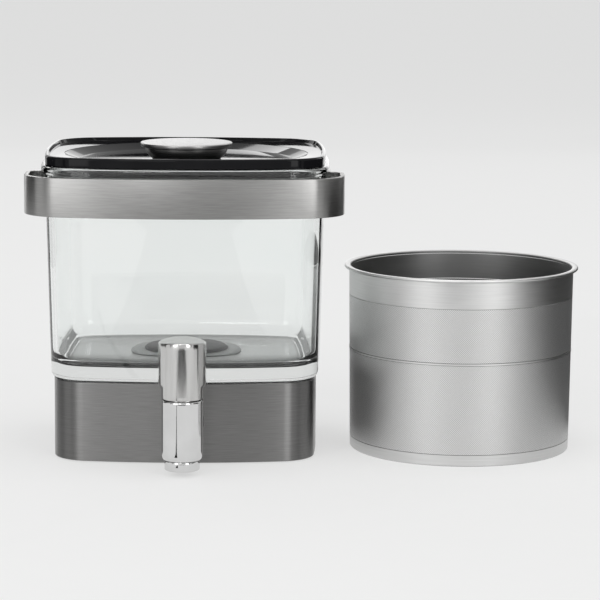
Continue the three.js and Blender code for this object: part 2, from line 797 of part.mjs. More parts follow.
const collarLow = steeperHeight - collarHeight;
const seamHigh = steeperHeight - seamFromTop;
const seamLow = seamHigh - seamHeight;
const steeperCollar = () => wallRing(collarLow, lipLow - fit);
const upperMesh = () => wallRing(seamHigh + fit, collarLow - fit);
const seamBand = () => wallRing(seamLow, seamHigh, seamProud);
const lowerMesh = () => wallRing(bottomBandHeight + fit, seamLow - fit);
const bottomBand = () =>
  turned([
    [wallRadius(0) - steeperSheet - bottomLip, 0],
    [wallRadius(0), 0],
    [wallRadius(bottomBandHeight), bottomBandHeight],
    [wallRadius(bottomBandHeight) - steeperSheet, bottomBandHeight],
    [wallRadius(steeperSheet) - steeperSheet, steeperSheet],
    [wallRadius(0) - steeperSheet - bottomLip, steeperSheet],
  ], steeperSteps);
const floorLow = steeperSheet + fit;
const steeperFloor = () =>
  rod(wallRadius(0) - steeperSheet - fit, floorLow, floorLow + steeperFloorThick, steeperSteps);

// Assembly: the maker, and the steeper that stands beside it.
const maker = new THREE.Group();
maker.add(
  mesh("base_shell", baseShell(), brushed),
  mesh("base_plate", basePlate(), blackPlastic),
  mesh("glass_jar", glassJar(), glass),
  mesh("handle_band", handleBand(), brushed),
  mesh("lid_shell", lidShell(), blackGloss),
  mesh("lid_liner", lidLiner(), blackPlastic),
  mesh("lid_gasket", lidGasket(), blackRubber),
  mesh("knob_cap", knobCap(), brushed),
  mesh("knob_stem", knobStem(), brushed),
  mesh("knob_screw", knobScrew(), plainSteel),
  mesh("drain_seal", drainSealRing(), silicone),
  mesh("drain_clear_ring", drainClearRing(), silicone),
  mesh("drain_fitting", drainFitting(), blackPlastic),
  mesh("drain_washer", drainWasherRing(), plainSteel),
  mesh("drain_nut", drainNut(), blackPlastic),
  mesh("drain_elbow", drainElbow(), blackPlastic),
  mesh("tap_body", tapBody(), polished),
  mesh("tap_nozzle", tapNozzle(), polished),
  mesh("tap_bonnet", tapBonnet(), plainSteel),
  mesh("tap_handle", tapHandle(), brushed),
  mesh("tap_pin", pivotPin(), plainSteel),
  mesh("valve_plunger", valvePlunger(), plainSteel),
  mesh("valve_seal", valveSeal(), blackRubber),
  mesh("valve_spring", valveSpring(), plainSteel),
  mesh("tap_washer_outer", tapWasher(), blackRubber),
  mesh("tap_washer_inner", innerWasher(), blackRubber),
  mesh("tap_nut", tapNut(), plainSteel),
  mesh("outlet_tube", outletTube(), silicone),
  mesh("hose_clamp_front", clampAt(tubeFront + clampWide), plainSteel),
  mesh("hose_clamp_back", clampAt(tubeBack - clampWide), plainSteel),
);
cornerNames.forEach((name, i) => {
  maker.add(mesh(`foot_${name}`, footAt(footPlaces[i]), blackRubber));
  maker.add(mesh(`plate_screw_${name}`, plateScrewAt(pillarPlaces[i]), plainSteel));
});

const steeper = new THREE.Group();
steeper.position.set(steeperAway, -steeperForward, 0);
steeper.add(
  mesh("steeper_rim", steeperRim(), plainSteel),
  mesh("steeper_collar", steeperCollar(), plainSteel),
  mesh("steeper_mesh_upper", upperMesh(), plainSteel),
  mesh("steeper_seam", seamBand(), brushed),
  mesh("steeper_mesh_lower", lowerMesh(), plainSteel),
  mesh("steeper_bottom_band", bottomBand(), plainSteel),
  mesh("steeper_floor", steeperFloor(), plainSteel),
);

// The middle of the set, from its outermost faces.
const rightReach = steeperAway + steeperRimRadius;
const frontReach = tapY - spoutRadius;
const backReach = jarTopDepth / 2 + fit + bandThick;
const coffeeMaker = new THREE.Group();
coffeeMaker.add(maker, steeper);
maker.position.set((bandWidth / 2 - rightReach) / 2, -(frontReach + backReach) / 2, 0);
steeper.position.add(maker.position);

export default coffeeMaker;
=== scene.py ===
import math

import bmesh
import bpy
from mathutils import Euler, Matrix, Vector


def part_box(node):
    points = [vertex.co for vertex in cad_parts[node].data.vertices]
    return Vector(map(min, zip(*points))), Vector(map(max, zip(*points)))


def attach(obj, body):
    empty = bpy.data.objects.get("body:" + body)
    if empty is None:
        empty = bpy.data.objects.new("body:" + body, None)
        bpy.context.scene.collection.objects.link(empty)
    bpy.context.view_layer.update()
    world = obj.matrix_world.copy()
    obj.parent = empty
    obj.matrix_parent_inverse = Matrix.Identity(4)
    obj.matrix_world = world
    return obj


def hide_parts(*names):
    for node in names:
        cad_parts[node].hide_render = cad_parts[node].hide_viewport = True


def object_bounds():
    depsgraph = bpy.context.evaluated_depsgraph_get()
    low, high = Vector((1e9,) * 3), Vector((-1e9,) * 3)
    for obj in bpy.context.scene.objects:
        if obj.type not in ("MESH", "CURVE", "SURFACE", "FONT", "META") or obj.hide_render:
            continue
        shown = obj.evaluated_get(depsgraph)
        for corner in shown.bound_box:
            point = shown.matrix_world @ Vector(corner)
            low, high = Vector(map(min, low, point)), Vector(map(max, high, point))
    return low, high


# Cold brew coffee maker: the looks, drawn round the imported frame.
# Sizes in the settings are millimetres; heights are over the table.
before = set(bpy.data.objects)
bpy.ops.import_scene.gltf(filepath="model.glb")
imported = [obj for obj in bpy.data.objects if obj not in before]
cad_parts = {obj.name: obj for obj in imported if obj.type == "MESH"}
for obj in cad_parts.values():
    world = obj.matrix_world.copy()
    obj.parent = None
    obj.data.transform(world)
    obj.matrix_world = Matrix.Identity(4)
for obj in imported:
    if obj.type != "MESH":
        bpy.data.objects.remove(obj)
cadLow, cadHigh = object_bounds()
print("frame loaded")

mm = 0.001
quarter = math.pi / 2
weldGap = 0.0002 * mm  # points that lie closer are merged
crisp = 30  # degrees between faces that still shade as one, on pieces with fine edges


# A CAD part's box in millimetres: middle and size across the table, lowest and highest point over it
def boxOf(node):
    low, high = [[value / mm for value in corner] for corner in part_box(node)]
    middle = ((low[0] + high[0]) / 2, (low[1] + high[1]) / 2)
    size = (high[0] - low[0], high[1] - low[1])
    return middle, size, low[2], high[2]


makerMiddle = boxOf("knob_cap")[0]
steeperMiddle = boxOf("steeper_rim")[0]
tapMiddle = boxOf("tap_nozzle")[0]

# Camera, fitted to the corners of the object in the photograph
view = {
    "place": (39.51, -1606.6, 325.62),  # from the jar's middle on the table
    "pitch": 8.46,  # degrees down
    "yaw": 1.04,  # degrees to the right
    "roll": 0.38,  # degrees
    "lens": 161.06,
    "sensor": 36,
    "clip": (0.05, 100),  # metres
}
bpy.ops.object.select_all(action="DESELECT")
aim = Euler((math.radians(90 - view["pitch"]), 0, math.radians(-view["yaw"]))).to_matrix()
aim = (aim @ Matrix.Rotation(math.radians(view["roll"]), 3, "Z")).to_euler()
place = (Vector(view["place"]) + Vector((*makerMiddle, 0))) * mm
bpy.ops.object.camera_add(location=place, rotation=aim)
camera = bpy.context.object
camera.data.lens = view["lens"]
camera.data.sensor_width = view["sensor"]
camera.data.clip_start, camera.data.clip_end = view["clip"]
bpy.context.scene.camera = camera
bpy.context.scene.view_settings.view_transform = "Standard"
print("camera placed")


# Outlines, each a closed list of points that runs counterclockwise
def arcPoints(x, y, radius, start, end, count):
    step = (end - start) / count
    angles = [start + step * k for k in range(count + 1)]
    return [(x + radius * math.cos(angle), y + radius * math.sin(angle)) for angle in angles]


square = {
    "bend": 340,  # radius of the bowed front and back
    "sideBend": 520,
    "sideBow": 2,  # how far a side's middle stands out over the straight wall of the solid
    "cornerCount": 18,
    "bowCount": 26,
    "sideCount": 12,
    "settleSteps": 12,  # rounds in which a corner finds its place between two bows
}


# The middle of a corner, the middles of the bows beside it, and how far these lean there
def cornerPlace(width, depth, corner, bend, sideBend):
    bowX, bowY = width / 2 + square["sideBow"] - sideBend, depth / 2 - bend
    x, y = width / 2 - corner, depth / 2 - corner
    for step in range(square["settleSteps"]):
        y = bowY + math.sqrt((bend - corner) ** 2 - x * x)
        x = bowX + math.sqrt((sideBend - corner) ** 2 - y * y)
    return x, y, bowX, bowY, math.asin(x / (bend - corner)), math.asin(y / (sideBend - corner))


# A square with round corners whose front, back and sides bow out
def bowedSquare(width, depth, corner, offset):
    bend, sideBend, corner = square["bend"] + offset, square["sideBend"] + offset, corner + offset
    width, depth = width + 2 * offset, depth + 2 * offset
    x, y, bowX, bowY, lean, sideLean = cornerPlace(width, depth, corner, bend, sideBend)
    half = arcPoints(x, y, corner, sideLean, quarter - lean, square["cornerCount"])
    half += arcPoints(0, bowY, bend, quarter - lean, quarter + lean, square["bowCount"])[1:-1]
    half += arcPoints(-x, y, corner, quarter + lean, 2 * quarter - sideLean, square["cornerCount"])
    start, end = 2 * quarter - sideLean, 2 * quarter + sideLean
    half += arcPoints(-bowX, 0, sideBend, start, end, square["sideCount"])[1:-1]
    return half + [(-u, -v) for u, v in half]


def circle(radius, count=96):
    return arcPoints(0, 0, radius, 0, 4 * quarter, count)[:-1]


# The circle whose points face the points of an outline
def circleFacing(points, radius):
    return [(x * radius / math.hypot(x, y), y * radius / math.hypot(x, y)) for x, y in points]


# The circle whose points face the same way as the points of an outline
def circleAlike(points, radius):
    found = []
    for k in range(len(points)):
        (x, y), (u, v) = points[k - 1], points[(k + 1) % len(points)]
        length = math.hypot(u - x, v - y)
        found.append((radius * (v - y) / length, radius * (x - u) / length))
    return found


# A rounded edge between two angles in degrees, as pairs of offset and height
def edgePairs(x, z, radius, start, end, count=5):
    return arcPoints(x, z, radius, math.radians(start), math.radians(end), count)


# Rings in metres from points and heights in millimetres
def ringAt(points, height, middle):
    heights = height if isinstance(height, list) else [height] * len(points)
    return [Vector((middle[0] + x, middle[1] + y, z)) * mm for (x, y), z in zip(points, heights)]


def roundRings(profile, middle, count=96):
    return [ringAt(circle(radius, count), z, middle) for radius, z in profile]


def placeRing(piece, ring):
    shape = bmesh.from_edit_mesh(piece.data)
    place = shape.verts.layers.int["place"]
    for vertex in shape.verts:
        if vertex.select:
            vertex.co = ring[vertex[place]]
    bmesh.update_edit_mesh(piece.data)


# A shape drawn ring by ring. It ends in a face at each end, or looped it runs back into its first ring.
def drawRings(name, rings, looped=False):
    bpy.ops.object.select_all(action="DESELECT")
    fill = "NOTHING" if looped else "NGON"
    bpy.ops.mesh.primitive_circle_add(vertices=len(rings[0]), radius=10 * mm, fill_type=fill)
    piece = bpy.context.object
    piece.name = name
    piece.data.name = name
    bpy.ops.object.mode_set(mode="EDIT")
    bpy.ops.mesh.select_all(action="SELECT")
    shape = bmesh.from_edit_mesh(piece.data)
    place = shape.verts.layers.int.new("place")
    for vertex in shape.verts:
        vertex[place] = vertex.index
    placeRing(piece, rings[0])
    following = rings[1:] + rings[:1] if looped else rings[1:]
    for ring in following:
        bpy.ops.mesh.extrude_region_move()
        placeRing(piece, ring)
    bpy.ops.mesh.select_all(action="SELECT")
    bpy.ops.mesh.remove_doubles(threshold=weldGap)
    bpy.ops.mesh.normals_make_consistent(inside=False)
    bpy.ops.object.mode_set(mode="OBJECT")
    piece.data.attributes.remove(piece.data.attributes["place"])
    return piece


def selectOnly(*pieces):
    bpy.ops.object.select_all(action="DESELECT")
    for piece in pieces:
        piece.select_set(True)
    bpy.context.view_layer.objects.active = pieces[0]


# Several closed shapes as one piece
def joinPieces(pieces, name):
    selectOnly(*pieces)
    bpy.ops.object.join()
    pieces[0].name = name
    return pieces[0]


# Welds or cuts one closed shape with another
def combine(piece, other, operation):
    modifier = piece.modifiers.new("combine", "BOOLEAN")
    modifier.operation = operation
    modifier.solver = "EXACT"
    modifier.object = other
    selectOnly(piece)
    bpy.ops.object.modifier_apply(modifier=modifier.name)
    bpy.data.objects.remove(other)
    return piece


def finishPiece(piece, body, material, replaced, angle=40):
    selectOnly(piece)
    bpy.ops.object.shade_smooth_by_angle(angle=math.radians(angle))
    piece.data.materials.clear()
    piece.data.materials.append(material)
    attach(piece, body)
    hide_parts(*replaced)


# Materials
def startMaterial(name, settings):
    material = bpy.data.materials.new(name)
    material.use_nodes = True
    shader = material.node_tree.nodes["Principled BSDF"]
    for socket, value in settings.items():
        shader.inputs[socket].default_value = value
    return material, shader


def addNode(material, kind, settings=None, sources=None):
    node = material.node_tree.nodes.new(kind)
    for name, value in (settings or {}).items():
        if isinstance(name, int) or name in node.inputs:
            node.inputs[name].default_value = value
        else:
            setattr(node, name, value)
    for name, source in (sources or {}).items():
        material.node_tree.links.new(source, node.inputs[name])
    return node


def linkTo(material, source, shader, socket):
    material.node_tree.links.new(source, shader.inputs[socket])


def addMath(material, operation, *terms):
    node = addNode(material, "ShaderNodeMath", {"operation": operation})
    for k, term in enumerate(terms):
        if isinstance(term, (int, float)):
            node.inputs[k].default_value = term
        else:
            material.node_tree.links.new(term, node.inputs[k])
    return node.outputs["Value"]


# Object coordinates, stretched
def addPlace(material, scale):
    place = addNode(material, "ShaderNodeTexCoord").outputs["Object"]
    mapping = addNode(material, "ShaderNodeMapping", {"Scale": scale}, {"Vector": place})
    return mapping.outputs["Vector"]


# Object coordinates from an upright axis, apart
def addAxisPlace(material, middle):
    place = addNode(material, "ShaderNodeTexCoord").outputs["Object"]
    away = (-middle[0] * mm, -middle[1] * mm, 0)
    moved = addNode(material, "ShaderNodeMapping", {"Location": away}, {"Vector": place})
    parts = addNode(material, "ShaderNodeSeparateXYZ", None, {"Vector": moved.outputs["Vector"]})
    return parts.outputs["X"], parts.outputs["Y"], parts.outputs["Z"]


# Distance from the upright axis
def addAway(material, x, y):
    squares = [addMath(material, "POWER", along, 2) for along in (x, y)]
    return addMath(material, "SQRT", addMath(material, "ADD", *squares))


# A colour between two, by a share from 0 to 1
def addBlend(material, shader, share, dark, light, socket="Base Color"):
    settings = {"data_type": "RGBA", 6: (*dark, 1), 7: (*light, 1)}
    blend = addNode(material, "ShaderNodeMix", settings, {0: share})
    linkTo(material, blend.outputs[2], shader, socket)


def addBump(material, shader, height, strength, deep):
    settings = {"Strength": strength, "Distance": deep * mm}
    bump = addNode(material, "ShaderNodeBump", settings, {"Height": height})
    linkTo(material, bump.outputs["Normal"], shader, "Normal")


# Noise that varies colour, roughness and surface height, from the middle part of its range
noiseSpan = {"From Min": 0.3, "From Max": 0.7}


def addGrain(material, shader, vector, grain):
    settings = {"Scale": 1, "Detail": grain["detail"]}
    noise = addNode(material, "ShaderNodeTexNoise", settings, {"Vector": vector})
    value = noise.outputs["Fac"]
    share = addNode(material, "ShaderNodeMapRange", noiseSpan, {"Value": value})
    addBlend(material, shader, share.outputs["Result"], grain["dark"], grain["light"])
    if "rough" in grain:
        low, high = grain["rough"]
        ends = {**noiseSpan, "To Min": low, "To Max": high}
        rough = addNode(material, "ShaderNodeMapRange", ends, {"Value": value})
        linkTo(material, rough.outputs["Result"], shader, "Roughness")
    if "bump" in grain:
        addBump(material, shader, value, grain["strength"], grain["bump"])


# Steel brushed round its upright walls: fine level streaks that spread reflections up and down
brushed = {
    "stretch": (80, 80, 3200),
    "turn": 0.25,
    "grain": {"detail": 3, "bump": 0.03, "strength": 0.15},
    "kinds": {  # roughness, anisotropy, darkest and lightest colour, range of roughness
        "brushedSteel": (0.36, 0.85, (0.31, 0.308, 0.304), (0.39, 0.387, 0.382), (0.33, 0.4)),
        # the skirt's darker colours are painted shade: the same brushed steel as the band, darkened for the
        # low skirt
        "shadedSkirtSteel": (0.42, 0.92, (0.18, 0.179, 0.177), (0.23, 0.228, 0.226), (0.39, 0.45)),
    },
}


def makeBrushedSteel(name):
    roughness, spread, dark, light, rough = brushed["kinds"][name]
    constants = {"Metallic": 1, "Roughness": roughness, "Anisotropic": spread}
    material, shader = startMaterial(name, {**constants, "Anisotropic Rotation": brushed["turn"]})
    around = addNode(material, "ShaderNodeTangent", {"direction_type": "RADIAL", "axis": "Z"})
    linkTo(material, around.outputs["Tangent"], shader, "Tangent")
    grain = {**brushed["grain"], "dark": dark, "light": light, "rough": rough}
    addGrain(material, shader, addPlace(material, brushed["stretch"]), grain)
    return material


# Steel turned on a lathe: fine rings about the knob's axis
turnedLook = {
    "constants": {"Metallic": 1, "Roughness": 0.32},
    "rings": 2200,  # noise steps to a metre
    "detail": 4, "dark": (0.3, 0.298, 0.296), "light": (0.4, 0.398, 0.394),
    "rough": (0.26, 0.38), "bump": 0.02, "strength": 0.15,
}


def makeTurnedSteel():
    material, shader = startMaterial("turnedSteel", turnedLook["constants"])
    x, y, z = addAxisPlace(material, makerMiddle)
    away = addAway(material, x, y)
    across, up = [addMath(material, "MULTIPLY", along, turnedLook["rings"]) for along in (away, z)]
    sources = {"X": across, "Z": up}
    place = addNode(material, "ShaderNodeCombineXYZ", None, sources)
    addGrain(material, shader, place.outputs["Vector"], turnedLook)
    return material


# Woven wire: two crossing waves, round and up the wall or across the floor
weave = {
    "constants": {"Metallic": 0.9, "Roughness": 0.4},
    "round": 370,  # wires round the wall
    "up": 0.92,  # wires to a millimetre of height
    "low": (0.34, 0.34, 0.342),
    "high": (0.76, 0.76, 0.755),
    "span": {"From Min": -0.8, "From Max": 0.6},  # part of the waves' range from low to high
    "deep": 0.1,
    "strength": 0.4,
}


def makeWovenMesh(name, flat):
    material, shader = startMaterial(name, weave["constants"])
    x, y, z = addAxisPlace(material, steeperMiddle)
    pitch = 2 * math.pi * weave["up"] / mm
    if flat:
        first, second = addMath(material, "MULTIPLY", x, pitch), addMath(material, "MULTIPLY", y, pitch)
    else:
        first = addMath(material, "MULTIPLY", addMath(material, "ARCTAN2", y, x), weave["round"])
        second = addMath(material, "MULTIPLY", z, pitch)
    waves = [addMath(material, "SINE", wave) for wave in (first, second)]
    crossing = addMath(material, "MULTIPLY", *waves)
    share = addNode(material, "ShaderNodeMapRange", weave["span"], {"Value": crossing})
    addBlend(material, shader, share.outputs["Result"], weave["low"], weave["high"])
    addBump(material, shader, crossing, weave["strength"], weave["deep"])
    return material


# Plain finishes: constants, how finely the noise is stretched, and what it varies
finishes = {
    "polishedSteel": {
        "constants": {"Metallic": 1, "Roughness": 0.07},
        "stretch": (60, 60, 60),
        "detail": 3, "dark": (0.68, 0.68, 0.68), "light": (0.74, 0.74, 0.74),
        "rough": (0.05, 0.1),
    },
    "satinSteel": {
        "constants": {"Metallic": 1, "Roughness": 0.16},
        "stretch": (300, 300, 30),
        "detail": 4, "dark": (0.56, 0.557, 0.55), "light": (0.66, 0.656, 0.65),
        "rough": (0.13, 0.18),
    },
    "basketSteel": {
        "constants": {"Metallic": 1, "Roughness": 0.4},
        "stretch": (40, 40, 1500),
        "detail": 3, "dark": (0.62, 0.62, 0.617), "light": (0.68, 0.68, 0.677),
        "rough": (0.38, 0.43),
    },
    "plainSteel": {
        "constants": {"Metallic": 1, "Roughness": 0.28},
        "stretch": (90, 90, 90),
        "detail": 4, "dark": (0.5, 0.5, 0.49), "light": (0.62, 0.62, 0.61),
        "rough": (0.22, 0.34),
    },
    "glossBlack": {
        "constants": {"Roughness": 0.06, "IOR": 1.5, "Specular IOR Level": 0.1},
        "stretch": (45, 45, 45),
        "detail": 3, "dark": (0.006, 0.006, 0.007), "light": (0.01, 0.01, 0.011),
        "rough": (0.04, 0.08),
    },
    "satinBlack": {
        "constants": {"Roughness": 0.42},
        "stretch": (700, 700, 700),
        "detail": 3, "dark": (0.018, 0.018, 0.019), "light": (0.03, 0.03, 0.031),
        "rough": (0.36, 0.5), "bump": 0.03, "strength": 0.4,
    },
    "blackRubber": {
        "constants": {"Roughness": 0.7},
        "stretch": (900, 900, 900),
        "detail": 4, "dark": (0.018, 0.018, 0.018), "light": (0.034, 0.034, 0.034),
        "rough": (0.62, 0.8), "bump": 0.05, "strength": 0.5,
    },
    "silicone": {
        "constants": {"Roughness": 0.35, "Transmission Weight": 0.5, "IOR": 1.41},
        "stretch": (300, 300, 300),
        "detail": 3, "dark": (0.68, 0.7, 0.69), "light": (0.76, 0.78, 0.77),
        "rough": (0.3, 0.42),
    },
    "clearGlass": {
        "constants": {"Roughness": 0, "Transmission Weight": 1, "IOR": 1.47},
        "stretch": (16, 16, 22),
        "detail": 2, "dark": (0.96, 0.98, 0.975), "light": (0.98, 0.99, 0.985),
        "bump": 0.12, "strength": 0.06,
    },
}
looks = {
    "brushedSteel": makeBrushedSteel("brushedSteel"),
    "shadedSkirtSteel": makeBrushedSteel("shadedSkirtSteel"),
    "turnedSteel": makeTurnedSteel(),
    "wovenWall": makeWovenMesh("wovenWall", False),
    "wovenFloor": makeWovenMesh("wovenFloor", True),
}
for name, look in finishes.items():
    material, shader = startMaterial(name, look["constants"])
    addGrain(material, shader, addPlace(material, look["stretch"]), look)
    looks[name] = material
print("materials made")

# Base: a bowed steel skirt with a deck, a recess for the lower seal and four pillars for the plate's screws
baseSize, baseBottom, baseTop = boxOf("base_shell")[1:]
base = {
    "size": baseSize,
    "corner": 22,
    "bottom": baseBottom,
    "top": baseTop,
    "sheet": 1.6,
    "edge": 0.9,
    "hem": 0.3,  # bevel of the sheet's lower edge
    "recess": (22.3, baseTop - 1.9),  # radius, floor
    "hole": 8.3,
    "pillar": (4.5, 1.8, boxOf("base_plate")[3] + 0.3, baseTop - 1.3),  # radius, bore, bottom, top
    "pillarCount": 24,
    "pillarInset": (42, 20),
}


def baseOutline(offset):
    return bowedSquare(*base["size"], base["corner"], offset)


def drawBase():
    sheet, edge, hem, top, bottom = base["sheet"], base["edge"], base["hem"], base["top"], base["bottom"]
    recess, recessFloor = base["recess"]
    facing = baseOutline(0)
    cup = [(base["hole"], recessFloor), (base["hole"], recessFloor - sheet)]
    cup += [(recess + sheet, recessFloor - sheet), (recess + sheet, top - sheet)]
    rings = [ringAt(circleFacing(facing, radius), z, makerMiddle) for radius, z in cup]
    profile = [(-sheet, top - sheet), (-sheet, bottom + hem), (-sheet + hem, bottom)]
    profile += [(-hem, bottom), (0, bottom + hem)]
    profile += edgePairs(-edge, top - edge, edge, 0, 90)
    rings += [ringAt(baseOutline(offset), z, makerMiddle) for offset, z in profile]
    rings += [ringAt(circleFacing(facing, recess), z, makerMiddle) for z in (top, recessFloor)]
    shells = [drawRings("baseSkirt", rings, looped=True)]
    radius, bore, low, high = base["pillar"]
    spanX, spanY = [size / 2 - inset for size, inset in zip(base["size"], base["pillarInset"])]
    for sideX, sideY in ((-1, -1), (1, -1), (1, 1), (-1, 1)):
        middle = (makerMiddle[0] + sideX * spanX, makerMiddle[1] + sideY * spanY)
        wall = [(radius, low), (radius, high), (bore, high), (bore, low)]
        pillar = roundRings(wall, middle, base["pillarCount"])
        shells.append(drawRings("pillar", pillar, looped=True))
    return joinPieces(shells, "baseSkirt")


# the skirt's steel is darker than the band's, as painted shade
finishPiece(drawBase(), "maker", looks["shadedSkirtSteel"], ["base_shell"])
print("base drawn")

# Glass jar: thick walls that lean in towards a thick floor, under a bulging rim
jarSize, jarBottom, jarTop = boxOf("glass_jar")[1:]
rimBulge = 2.1
jar = {
    "size": (jarSize[0] - 2 * rimBulge, jarSize[1] - 2 * rimBulge),
    "corner": 24,
    "taper": 3,
    "bottom": jarBottom,
    "top": jarTop,
    "wall": 4,
    "floor": 8,
    "foot": 3.2,
    "footSteps": 7,
    "fillet": 9,
    "filletSteps": 10,
    "levels": (0.25, 0.5, 0.75),  # shares of the wall's height that carry a ring
    "crease": [(0, 0.3), (0.1, 0.05)],  # offset and drop under the rim of the points that lead into it
    "rimHeight": 5.2,
    "rimBulge": rimBulge,
    "rimRound": 1.9,
    "lip": 1.1,
    "hole": 8.3,
}


def jarOutline(offset):
    return bowedSquare(*jar["size"], jar["corner"], offset)


# The same outline, drawn in as the wall leans
def leanedOutline(offset, z):
    width, depth = jar["size"]
    share = max(0, (jar["top"] - z) / (jar["top"] - jar["bottom"]))
    shrinkX = 1 - share * 2 * jar["taper"] / width
    shrinkY = 1 - share * 2 * jar["taper"] / depth
    return [(x * shrinkX, y * shrinkY) for x, y in jarOutline(offset)]


def drawJar():
    wall, foot, fillet, top, bottom = jar["wall"], jar["foot"], jar["fillet"], jar["top"], jar["bottom"]
    bulge, rimRound, lip = jar["rimBulge"], jar["rimRound"], jar["lip"]
    rimLow, floor = top - jar["rimHeight"], bottom + jar["floor"]
    profile = edgePairs(-foot, bottom + foot, foot, -90, 0, jar["footSteps"])
    levels = [bottom + (rimLow - bottom) * share for share in jar["levels"]]
    profile += [(0, z) for z in levels]
    profile += [(offset, rimLow - drop) for offset, drop in jar["crease"]]
    profile += edgePairs(bulge - rimRound, rimLow + rimRound, rimRound, -90, 0)
    profile += edgePairs(bulge - rimRound, top - rimRound, rimRound, 0, 90)
    profile += edgePairs(-wall + lip, top - lip, lip, 90, 180)
    profile += [(-wall, z) for z in reversed(levels)]
    profile += edgePairs(-wall - fillet, floor + fillet, fillet, 0, -90, jar["filletSteps"])
    rings = [ringAt(leanedOutline(offset, z), z, makerMiddle) for offset, z in profile]
    hole = circleFacing(jarOutline(0), jar["hole"])
    rings += [ringAt(hole, z, makerMiddle) for z in (floor, bottom)]
    return drawRings("glassJar", rings, looped=True)


finishPiece(drawJar(), "maker", looks["clearGlass"], ["glass_jar"])
print("jar drawn")

# Handle band: one steel strip that stands off the jar as a finger loop at each side
bandSize, bandBottom, bandTop = boxOf("handle_band")[1:]
band = {
    "width": bandSize[0],
    "bottom": bandBottom,
    "top": bandTop,
    "thick": 2.5,
    "corner": 26,
    "returnCorner": 7,
    "depth": 54,
    "gap": 0.3,
    "edge": 0.35,
    "edgeSteps": 3,
    # steps of the outline's stretches, from the right front corner round to the front face
    "steps": {"corner": 14, "return": 8, "turn": 6, "side": 10, "rearCorner": 12, "rear": 24, "face": 30},
}


# The strip's own line, moved outwards by an offset from its inner face
def bandOutline(offset):
    thick, gap, bend, sideBend = band["thick"], band["gap"], square["bend"], square["sideBend"]
    width, depth = jar["size"]
    steps = band["steps"]
    half = band["width"] / 2 - thick
    front = -depth / 2 - gap
    back = front + band["depth"] - 2 * thick
    corner, backCorner = band["corner"] - thick, band["returnCorner"] - thick
    reach = bend + gap - corner
    lean = math.asin((half - corner) / reach)
    cornerY = front + bend + gap - reach * math.cos(lean)
    rearX, rearY, bowX, bowY, rearLean, sideLean = cornerPlace(width, depth, jar["corner"], bend, sideBend)
    beside = sideBend + gap
    turn = half - backCorner - bowX - math.sqrt(beside ** 2 - back ** 2)
    turnLean = math.asin((back + turn) / beside)
    right = arcPoints(half - corner, cornerY, corner + offset, -quarter + lean, 0, steps["corner"])
    turnX = half - backCorner
    right += arcPoints(turnX, back - backCorner, backCorner + offset, 0, quarter, steps["return"])
    right += arcPoints(turnX, back + turn, turn - offset, -quarter, -2 * quarter, steps["turn"])
    right += arcPoints(bowX, 0, beside + offset, turnLean, sideLean, steps["side"])[1:-1]
    rearCorner = jar["corner"] + gap + offset
    right += arcPoints(rearX, rearY, rearCorner, sideLean, quarter - rearLean, steps["rearCorner"])
    bowed = bend + gap + offset
    rear = arcPoints(0, bowY, bowed, quarter - rearLean, quarter + rearLean, steps["rear"])[1:-1]
    left = [(-x, y) for x, y in reversed(right)]
    middle = front + bend + gap
    face = arcPoints(0, middle, bowed, -quarter - lean, -quarter + lean, steps["face"])[1:-1]
    return right + rear + left + face


def drawBand():
    low, high, thick, edge = band["bottom"], band["top"], band["thick"], band["edge"]
    steps = band["edgeSteps"]
    profile = edgePairs(thick - edge, low + edge, edge, -90, 0, steps)
    profile += edgePairs(thick - edge, high - edge, edge, 0, 90, steps)
    profile += edgePairs(edge, high - edge, edge, 90, 180, steps)
    profile += edgePairs(edge, low + edge, edge, 180, 270, steps)
    rings = [ringAt(bandOutline(offset), z, makerMiddle) for offset, z in profile]
    return drawRings("handleBand", rings, looped=True)


finishPiece(drawBand(), "maker", looks["brushedSteel"], ["handle_band"])
print("band drawn")

# Lid: a square plate whose rim drops to a shelf round a round dish
lidLow, lidTop = boxOf("lid_shell")[2:]
lid = {
    "inset": 0.2,
    "bottom": jarTop + 0.3,
    "top": lidTop,
    "edge": 1.4,
    "edgeSteps": 8,
    "bevel": 0.4,
    # the shelf's share of the way from the rim to the dish, and its drop
    "shelf": [(0.04, 0), (0.06, 0.15), (0.13, 2), (0.17, 2.2), (0.4, 2.4), (0.7, 2.7), (1, 3)],
    "dish": (73, lidTop - 3),  # radius and height of the dish's rim
    "groove": [(0.1, 0.35), (0.5, 0.35), (0.6, 0.05)],  # inset and drop of the groove round the dish
    "floor": (64.4, lidTop - 6.4),
    "toe": (0.6, 0.2),  # how far out and up the dish's floor starts to turn
    "floorRings": (50, 30),
    "underside": lidTop - 8.2,
    "plug": (6, 2.6, lidLow),  # inset, wall, lower edge
    "seat": (6.9, lidLow + 0.7, lidLow + 3.3),  # the gasket's groove: inset, bottom, top
    "hole": 2.3,
    "crisp": 14,
}


